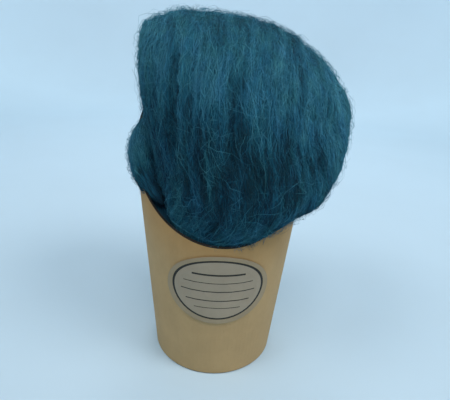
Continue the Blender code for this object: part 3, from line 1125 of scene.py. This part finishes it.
def fibre_material(settings):
    """Single fibres: each has the shade that its attribute holds, and small changes along it."""
    material = bpy.data.materials.get("wool_fibre")
    if material is not None:
        return material
    material, tree, shader = wool_material("wool_fibre", FIBRE_ROUGHNESS)
    # The shade attribute holds random streaks and the painted light and shade of the charts.
    own = add_node(tree, "ShaderNodeAttribute", attribute_name=SHADE).outputs["Fac"]
    place = object_place(tree)
    change = math_node(tree, "SUBTRACT", noise(tree, place, *CHANGE_NOISE), 0.5)
    change = math_node(tree, "MULTIPLY", change, CHANGE_STRENGTH)
    value = math_node(tree, "ADD", own, change)
    along = stretched(tree, place, HUE_STRETCH)
    hue = shade_ramp(tree, noise(tree, along, *HUE_NOISE), HUE_STOPS)
    colour = tinted(tree, shade_ramp(tree, value, wool_stops(settings)), hue)
    tree.links.new(with_painted_seam_shade(tree, colour, place), shader.inputs["Base Color"])
    return material


# ---------------------------------------------------------------- settings


def colour_property(name, description, default):
    return FloatVectorProperty(
        name=name, description=description, default=default, subtype="COLOR"
    )


def power_property(name, description, default):
    return FloatProperty(name=name, description=description, default=default, unit="POWER")


class WoolSettings(bpy.types.PropertyGroup):
    # The dark colour is reached where the painted shade is deepest, in the creases between the
    # locks.
    dark: colour_property("Dark", "Colour of the wool between its locks", (0.0046, 0.031, 0.053))
    middle: colour_property("Middle", "Colour of most of the wool", (0.0138, 0.113, 0.174))
    light: colour_property("Light", "Colour of the palest fibres", (0.049, 0.208, 0.284))
    thickness_scale: FloatProperty(
        name="Fibre Thickness",
        description="Multiplies the thickness of every fibre",
        default=1.0,
        min=0.3,
        max=2.0,
    )


class CardSettings(bpy.types.PropertyGroup):
    card: colour_property("Card", "Colour of the brown card", (0.435, 0.282, 0.130))
    paper: colour_property("Paper", "Colour of the label", (0.318, 0.236, 0.140))
    ink: colour_property("Ink", "Colour of the label's lines", (0.016, 0.014, 0.010))


class StageSettings(bpy.types.PropertyGroup):
    floor: colour_property("Floor", "Colour of the floor and its sweep", (0.555, 0.705, 0.805))
    radius: FloatProperty(
        name="Floor Radius",
        description="How far the floor runs before it sweeps up",
        default=0.75,
        unit="LENGTH",
    )
    top_power: power_property("Top Light", "Power of the light above the front", 3.4)
    right_power: power_property("Right Light", "Power of the light above the right", 5.2)
    left_power: power_property("Left Light", "Power of the light above the left", 2.8)
    wall_power: power_property("Wall Light", "Power of the light on the sweep behind", 3.4)


# ---------------------------------------------------------------- operators


def add_groups(grow, chart, groups, settings):
    for group in groups:
        add_fibres(group.name, *grow(chart, group, settings), fibre_material(settings))


class WOOL_OT_core(bpy.types.Operator):
    """Makes the mass of wool that the fibres lie on"""

    bl_idname = "wool.core"
    bl_label = "Wool Mass"

    def execute(self, context):
        fold = add_helper("fold_core", chart_core(fold_chart(), CORE_ACROSS, CORE_ALONG))
        others = [
            (add_helper("packed_wool", packed_wool()), "UNION"),
            (add_helper("lobe_core", chart_core(lobe_chart(), LOBE_TURNS, LOBE_STEPS)), "UNION"),
            (add_helper("card_clearance", card_clearance()), "DIFFERENCE"),
        ]
        for other, operation in others:
            modifier = fold.modifiers.new(other.name, "BOOLEAN")
            modifier.operation = operation
            modifier.object = other
            modifier.solver = "MANIFOLD"
        mesh = evaluated_mesh(fold, "wool_mass")
        if min(vert.co.z for vert in mesh.vertices) > BASE_THICKNESS + PLUG_DEPTH:
            raise RuntimeError("the fold, the lobe and the packed wool did not join")
        for helper in [fold] + [other for other, _ in others]:
            bpy.data.objects.remove(helper)
        mesh.shade_smooth()
        mesh.set_sharp_from_angle(angle=SHARP_ANGLE)
        piece = add_piece("wool_mass", mesh, core_material(context.scene.wool))
        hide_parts("wool_roving")
        return {"FINISHED"}


class WOOL_OT_fold_fibres(bpy.types.Operator):
    """Lays fibres over the fold, from the mouth over the ridge"""

    bl_idname = "wool.fold_fibres"
    bl_label = "Fold Fibres"

    def execute(self, context):
        add_groups(grow_fibres, fold_chart(), FOLD_FIBRES, context.scene.wool)
        return {"FINISHED"}


class WOOL_OT_lobe_fibres(bpy.types.Operator):
    """Lays fibres along the lobe that spills over the cup's edge"""

    bl_idname = "wool.lobe_fibres"
    bl_label = "Lobe Fibres"

    def execute(self, context):
        add_groups(grow_fibres, lobe_chart(), LOBE_FIBRES, context.scene.wool)
        return {"FINISHED"}


class WOOL_OT_loose_hairs(bpy.types.Operator):
    """Adds hairs that stand off the wool, and strands that cross it"""

    bl_idname = "wool.loose_hairs"
    bl_label = "Loose Hairs"

    def execute(self, context):
        add_groups(grow_hairs, fold_chart(), FOLD_HAIRS, context.scene.wool)
        add_groups(grow_hairs, lobe_chart(), LOBE_HAIRS, context.scene.wool)
        return {"FINISHED"}


def height_above_mouth(tree, place):
    """How high a place is above the slanted plane of the cup's mouth."""
    x, y, z = axes_of(tree, place)
    right = math_node(tree, "MULTIPLY", x, MOUTH_RISE * math.sin(MOUTH_TURN))
    back = math_node(tree, "MULTIPLY", y, -MOUTH_RISE * math.cos(MOUTH_TURN))
    tilted = math_node(tree, "ADD", z, math_node(tree, "ADD", right, back))
    return math_node(tree, "SUBTRACT", tilted, MOUTH_HEIGHT)


def pulp_material(name, roughness):
    """A material for card or paper: its parts, its Object coordinates and its pattern."""
    finish = {"Specular IOR Level": PULP_SPECULAR, "Roughness": roughness}
    material, tree, shader = new_material(name, finish)
    place = object_place(tree)
    return material, tree, shader, place, patterned(tree, "card_fibre", card_fibre, place)


def mottled(tree, mottle, colour, shades):
    """The colour, from its darker to its paler shade."""
    shades = zip(MOTTLE_PLACES, shades)
    stops = [(place, (*(colour * shade), 1.0)) for place, shade in shades]
    return shade_ramp(tree, mottle, stops)


def finish_nodes(names, material, tree, colour, shader):
    """Gives the colour to a material, and the material to the frame's nodes of these names."""
    tree.links.new(colour, shader.inputs["Base Color"])
    for name in names:
        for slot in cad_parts[name].material_slots:
            slot.material = material


class CUP_OT_card(bpy.types.Operator):
    """Gives the cup's wall and base the finish of brown card"""

    bl_idname = "cup.card"
    bl_label = "Card"

    def execute(self, context):
        settings = context.scene.card
        material, tree, shader, place, fibre = pulp_material("brown_card", CARD_ROUGHNESS)
        card = Vector(settings.card)
        colour = mottled(tree, fibre["Mottle"], card, CARD_MOTTLE)
        fleck = shade_ramp(tree, fibre["Fleck"], FLECK_STOPS)
        fleck = math_node(tree, "MULTIPLY", fleck, FLECK_STRENGTH)
        colour = mix_colours(tree, fleck, colour, (*(card * FLECK_SHADE), 1.0))
        # Painted shadow: the card darkens towards the mouth, under the overhanging wool.
        above = height_above_mouth(tree, place)
        mouth_painted_shadow = share_between(tree, above, -MOUTH_PAINTED_SHADOW_DEPTH, 0.0)
        colour = tinted(tree, colour, (*MOUTH_PAINTED_SHADOW, 1.0), mouth_painted_shadow)
        # Painted shadow: the cut edge is painted near black, for the shade in the gap beside the
        # wool.
        edge = math_node(tree, "GREATER_THAN", above, -CUT_EDGE_DEPTH)
        colour = mix_colours(tree, edge, colour, (*(card * CUT_EDGE_PAINTED_SHADOW), 1.0))
        bump(tree, fibre["Height"], *CARD_BUMP, shader)
        finish_nodes(("cup_wall", "cup_base"), material, tree, colour, shader)
        return {"FINISHED"}


class CUP_OT_label(bpy.types.Operator):
    """Gives the oval label its paper, its ring line and its ruled lines"""

    bl_idname = "cup.label"
    bl_label = "Label"

    def execute(self, context):
        settings = context.scene.card
        material, tree, shader, place, fibre = pulp_material("label_paper", PAPER_ROUGHNESS)
        x, y, z = axes_of(tree, place)
        turn = math_node(tree, "ARCTAN2", x, math_node(tree, "MULTIPLY", y, -1.0))
        turn = math_node(tree, "SUBTRACT", turn, LABEL_TURN)
        across = math_node(tree, "MULTIPLY", turn, card_radius(LABEL_HEIGHT))
        sideways = math_node(tree, "ABSOLUTE", across)
        up = math_node(tree, "SUBTRACT", z, LABEL_HEIGHT + RING_RISE)
        shares = ((across, RING_HALF_WIDTH), (up, RING_HALF_HEIGHT))
        shares = [math_node(tree, "ABSOLUTE", math_node(tree, "DIVIDE", *s)) for s in shares]
        squares = [math_node(tree, "POWER", share, 2.0) for share in shares]
        size = math_node(tree, "SQRT", math_node(tree, "ADD", *squares))
        beside = math_node(tree, "ABSOLUTE", math_node(tree, "SUBTRACT", size, 1.0))
        marks = math_node(tree, "LESS_THAN", beside, RING_LINE)
        for rule in RULES:
            beside = math_node(tree, "ABSOLUTE", math_node(tree, "SUBTRACT", up, rule.height * MM))
            on_line = math_node(tree, "LESS_THAN", beside, rule.half_breadth * MM)
            within = math_node(tree, "LESS_THAN", sideways, rule.half_length * MM)
            marks = math_node(tree, "MAXIMUM", marks, math_node(tree, "MULTIPLY", on_line, within))
        colour = mottled(tree, fibre["Mottle"], Vector(settings.paper), PAPER_MOTTLE)
        inside = math_node(tree, "LESS_THAN", size, 1.0)
        colour = tinted(tree, colour, (*FIELD_TINT, 1.0), inside)
        colour = mix_colours(tree, marks, colour, (*settings.ink, 1.0))
        bump(tree, fibre["Height"], *PAPER_BUMP, shader)
        finish_nodes(("label",), material, tree, colour, shader)
        return {"FINISHED"}


def area_light(lamp, power):
    data = bpy.data.lights.new(lamp.name, "AREA")
    data.shape = "DISK"
    data.size = lamp.size
    data.energy = power
    light = add_object(lamp.name, data)
    light.location = lamp.place
    facing = Vector(lamp.target) - Vector(lamp.place)
    light.rotation_euler = facing.to_track_quat("-Z", "Y").to_euler()


class STAGE_OT_studio(bpy.types.Operator):
    """Makes the floor, the lights and the camera"""

    bl_idname = "stage.studio"
    bl_label = "Studio"

    def execute(self, context):
        settings = context.scene.stage
        self.make_floor(settings)
        world = bpy.data.worlds.new("studio")
        world.use_nodes = True
        background = world.node_tree.nodes["Background"]
        background.inputs["Color"].default_value = (1.0, 1.0, 1.0, 1.0)
        background.inputs["Strength"].default_value = WORLD_STRENGTH
        context.scene.world = world
        context.scene.view_settings.view_transform = "Standard"
        for lamp in LAMPS:
            area_light(lamp, getattr(settings, lamp.name + "_power"))
        self.make_camera(context.scene)
        return {"FINISHED"}

    def make_floor(self, settings):
        """A round floor that sweeps up into a wall, so that every view has it behind."""
        radius = settings.radius
        profile = [(0.0, 0.0), (radius, 0.0)]
        for step in range(1, SWEEP_STEPS + 1):
            turn = math.pi / 2 * step / SWEEP_STEPS
            rise = SWEEP_BEND * (1 - math.cos(turn))
            profile.append((radius + SWEEP_BEND * math.sin(turn), rise))
        profile.append((radius + SWEEP_BEND, WALL_TOP))
        shape = spin_profile(profile)
        bmesh.ops.remove_doubles(shape, verts=shape.verts, dist=MM)
        floor = add_helper("floor", shape)
        floor.data.shade_smooth()
        floor.data.transform(Matrix.Translation((0.0, 0.0, -FLOOR_DROP)))
        material, tree, shader = new_material("pale_floor", {"Roughness": FLOOR_ROUGHNESS})
        place = object_place(tree)
        pale = Vector(settings.floor)
        stops = [(at, (*(pale * shade), 1.0)) for at, shade in FLOOR_SHADES]
        colour = shade_ramp(tree, noise(tree, place, *FLOOR_NOISE), stops)
        # Painted light and shadow: darker in front of the cup, paler behind it.
        behind = share_between(tree, axes_of(tree, place)[1], *PAINTED_LIGHT_SPAN)
        colour = tinted(tree, colour, shade_ramp(tree, behind, FLOOR_PAINTED_LIGHT))
        tree.links.new(colour, shader.inputs["Base Color"])
        floor.data.materials.append(material)

    def make_camera(self, scene):
        data = bpy.data.cameras.new("camera")
        data.sensor_width = CAMERA_SENSOR
        data.lens = CAMERA_LENS
        data.shift_x = CAMERA_SHIFT
        data.clip_start = CAMERA_NEAREST
        camera = add_object("camera", data)
        camera.matrix_world = (
            Matrix.Translation(CAMERA_PLACE)
            @ Matrix.Rotation(math.pi / 2 - CAMERA_PITCH, 4, "X")
            @ Matrix.Rotation(CAMERA_ROLL, 4, "Z")
        )
        scene.camera = camera


class WOOL_PT_panel(bpy.types.Panel):
    """Lists the pieces and their settings"""

    bl_idname = "WOOL_PT_panel"
    bl_label = "Wool Roving in a Cup"
    bl_space_type = "VIEW_3D"
    bl_region_type = "UI"
    bl_category = "Wool"

    def draw(self, context):
        for settings, operators in STEPS:
            box = self.layout.box()
            group = getattr(context.scene, settings)
            for name in group.bl_rna.properties.keys():
                if name not in ("rna_type", "name"):
                    box.prop(group, name)
            for operator in operators:
                box.operator(operator)


SETTINGS = (("wool", WoolSettings), ("card", CardSettings), ("stage", StageSettings))
STEPS = (
    ("wool", ("wool.core", "wool.fold_fibres", "wool.lobe_fibres", "wool.loose_hairs")),
    ("card", ("cup.card", "cup.label")),
    ("stage", ("stage.studio",)),
)
CLASSES = (
    WoolSettings,
    CardSettings,
    StageSettings,
    WOOL_OT_core,
    WOOL_OT_fold_fibres,
    WOOL_OT_lobe_fibres,
    WOOL_OT_loose_hairs,
    CUP_OT_card,
    CUP_OT_label,
    STAGE_OT_studio,
    WOOL_PT_panel,
)


def register():
    for cls in CLASSES:
        bpy.utils.register_class(cls)
    for name, group in SETTINGS:
        setattr(bpy.types.Scene, name, PointerProperty(type=group))


def unregister():
    for name, _ in SETTINGS:
        delattr(bpy.types.Scene, name)
    for cls in reversed(CLASSES):
        bpy.utils.unregister_class(cls)


def main():
    register()
    for _, operators in STEPS:
        for operator in operators:
            group, name = operator.split(".")
            getattr(getattr(bpy.ops, group), name)()


if __name__ == "__main__":
    main()
